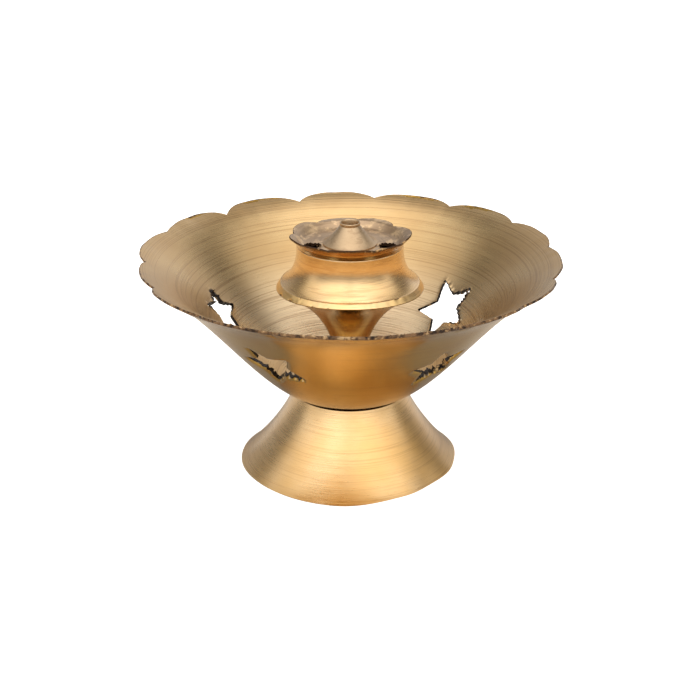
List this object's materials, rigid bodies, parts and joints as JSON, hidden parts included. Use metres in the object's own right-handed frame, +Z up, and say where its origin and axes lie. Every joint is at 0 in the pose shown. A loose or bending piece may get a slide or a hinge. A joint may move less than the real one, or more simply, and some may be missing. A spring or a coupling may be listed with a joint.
{
  "type": "incense stick holder",
  "caption": "Footed brass incense bowl with a scalloped rim, star cut-outs and a waisted central stick holder under a lift-off petal cap.",
  "frame": {"origin": "centre of the foot's resting edge, on the surface it stands on", "axes": "+Z up through the nozzle; +X to the right and +Y to the back as seen from the front"},
  "size_m": [0.1193, 0.1196, 0.0723],
  "materials": {
    "foot": "brushed, spun rings",
    "bowl": "lathe-grooved inside, satin polished outside",
    "stem_funnel": "polished",
    "rim_seam": "dressed braze",
    "holder_bell": "polished",
    "petal_cap": "dull, tarnished",
    "nozzle": "satin, pale",
    "fastener": "zinc plated"
  },
  "bodies": {
    "stand": {"foot": "foot", "bowl": "bowl", "stem_funnel": "stem_funnel", "rim_seam": "rim_seam", "holder_bell": "holder_bell", "tie_bolt": "fastener", "washer": "fastener", "nut": "fastener"},
    "cap": {"petal_cap": "petal_cap", "nozzle": "nozzle"}
  },
  "joints": [
    {"name": "cap_lift", "type": "slide", "parent": "stand", "child": "cap", "axis": [0, 0, 1], "range_m": [0, 0.015]}
  ]
}
